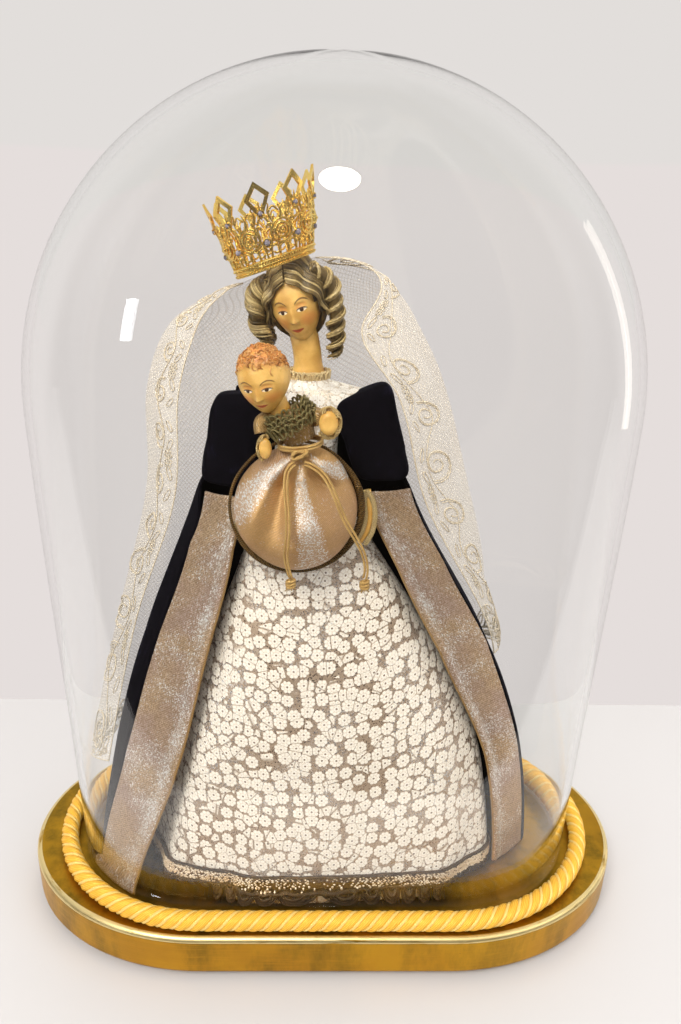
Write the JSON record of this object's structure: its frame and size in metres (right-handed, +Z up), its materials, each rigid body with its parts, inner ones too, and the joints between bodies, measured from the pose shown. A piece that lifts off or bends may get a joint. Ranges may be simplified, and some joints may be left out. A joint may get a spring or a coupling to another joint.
{
  "type": "madonna statue under glass dome",
  "caption": "Crowned wax figure of a mother with her child in brocade, velvet and lame, under an oval glass dome on a gilt base with bun feet.",
  "frame": {"origin": "on the table, below the middle of the oval base", "axes": "+Z up, -Y towards the viewer in front of the figure, +X to the viewer's right"},
  "size_m": [0.2994, 0.1436, 0.382],
  "materials": {
    "gilt": "gilded gesso, antiqued, satin",
    "foot_wood": "dark stained, satin",
    "glass": "clear blown glass",
    "gold_rope": "twisted rayon cord",
    "brocade": "cream daisy brocade on a metallic ground",
    "sequin_trim": "brown braid with gilt thread",
    "velvet": "pile velvet",
    "lame": "metallic twill, taupe and rose gold",
    "child_lame": "metallic twill, rose gold",
    "tulle": "net with corded embroidery",
    "wax": "painted beeswax",
    "hair": "curled mohair",
    "crown_gold": "polished gilt filigree",
    "gold_braid": "metal thread braid"
  },
  "bodies": {
    "root": {"base": "gilt", "foot_front_left": "foot_wood", "foot_front_right": "foot_wood", "foot_back_left": "foot_wood", "foot_back_right": "foot_wood", "glass_dome": "glass", "rope_trim": "gold_rope", "gown": "brocade", "hem_trim": "sequin_trim", "mantle": "velvet", "mantle_band_left": "lame", "mantle_band_right": "lame", "sleeve_left": "velvet", "sleeve_right": "velvet", "veil": "tulle", "madonna_head": "wax", "hair": "hair", "crown": "crown_gold", "neck_braid": "gold_braid", "child_head": "wax", "child_body": "child_lame", "child_skirt": "child_lame", "child_skirt_trim": "sequin_trim", "child_hand_left": "wax", "child_hand_right": "wax", "madonna_hand_left": "wax", "madonna_hand_right": "wax", "belt_cord": "gold_braid", "belt_tail_left": "gold_braid", "belt_tail_right": "gold_braid", "belt_knot_left": "gold_braid", "belt_knot_right": "gold_braid"}
  },
  "joints": []
}
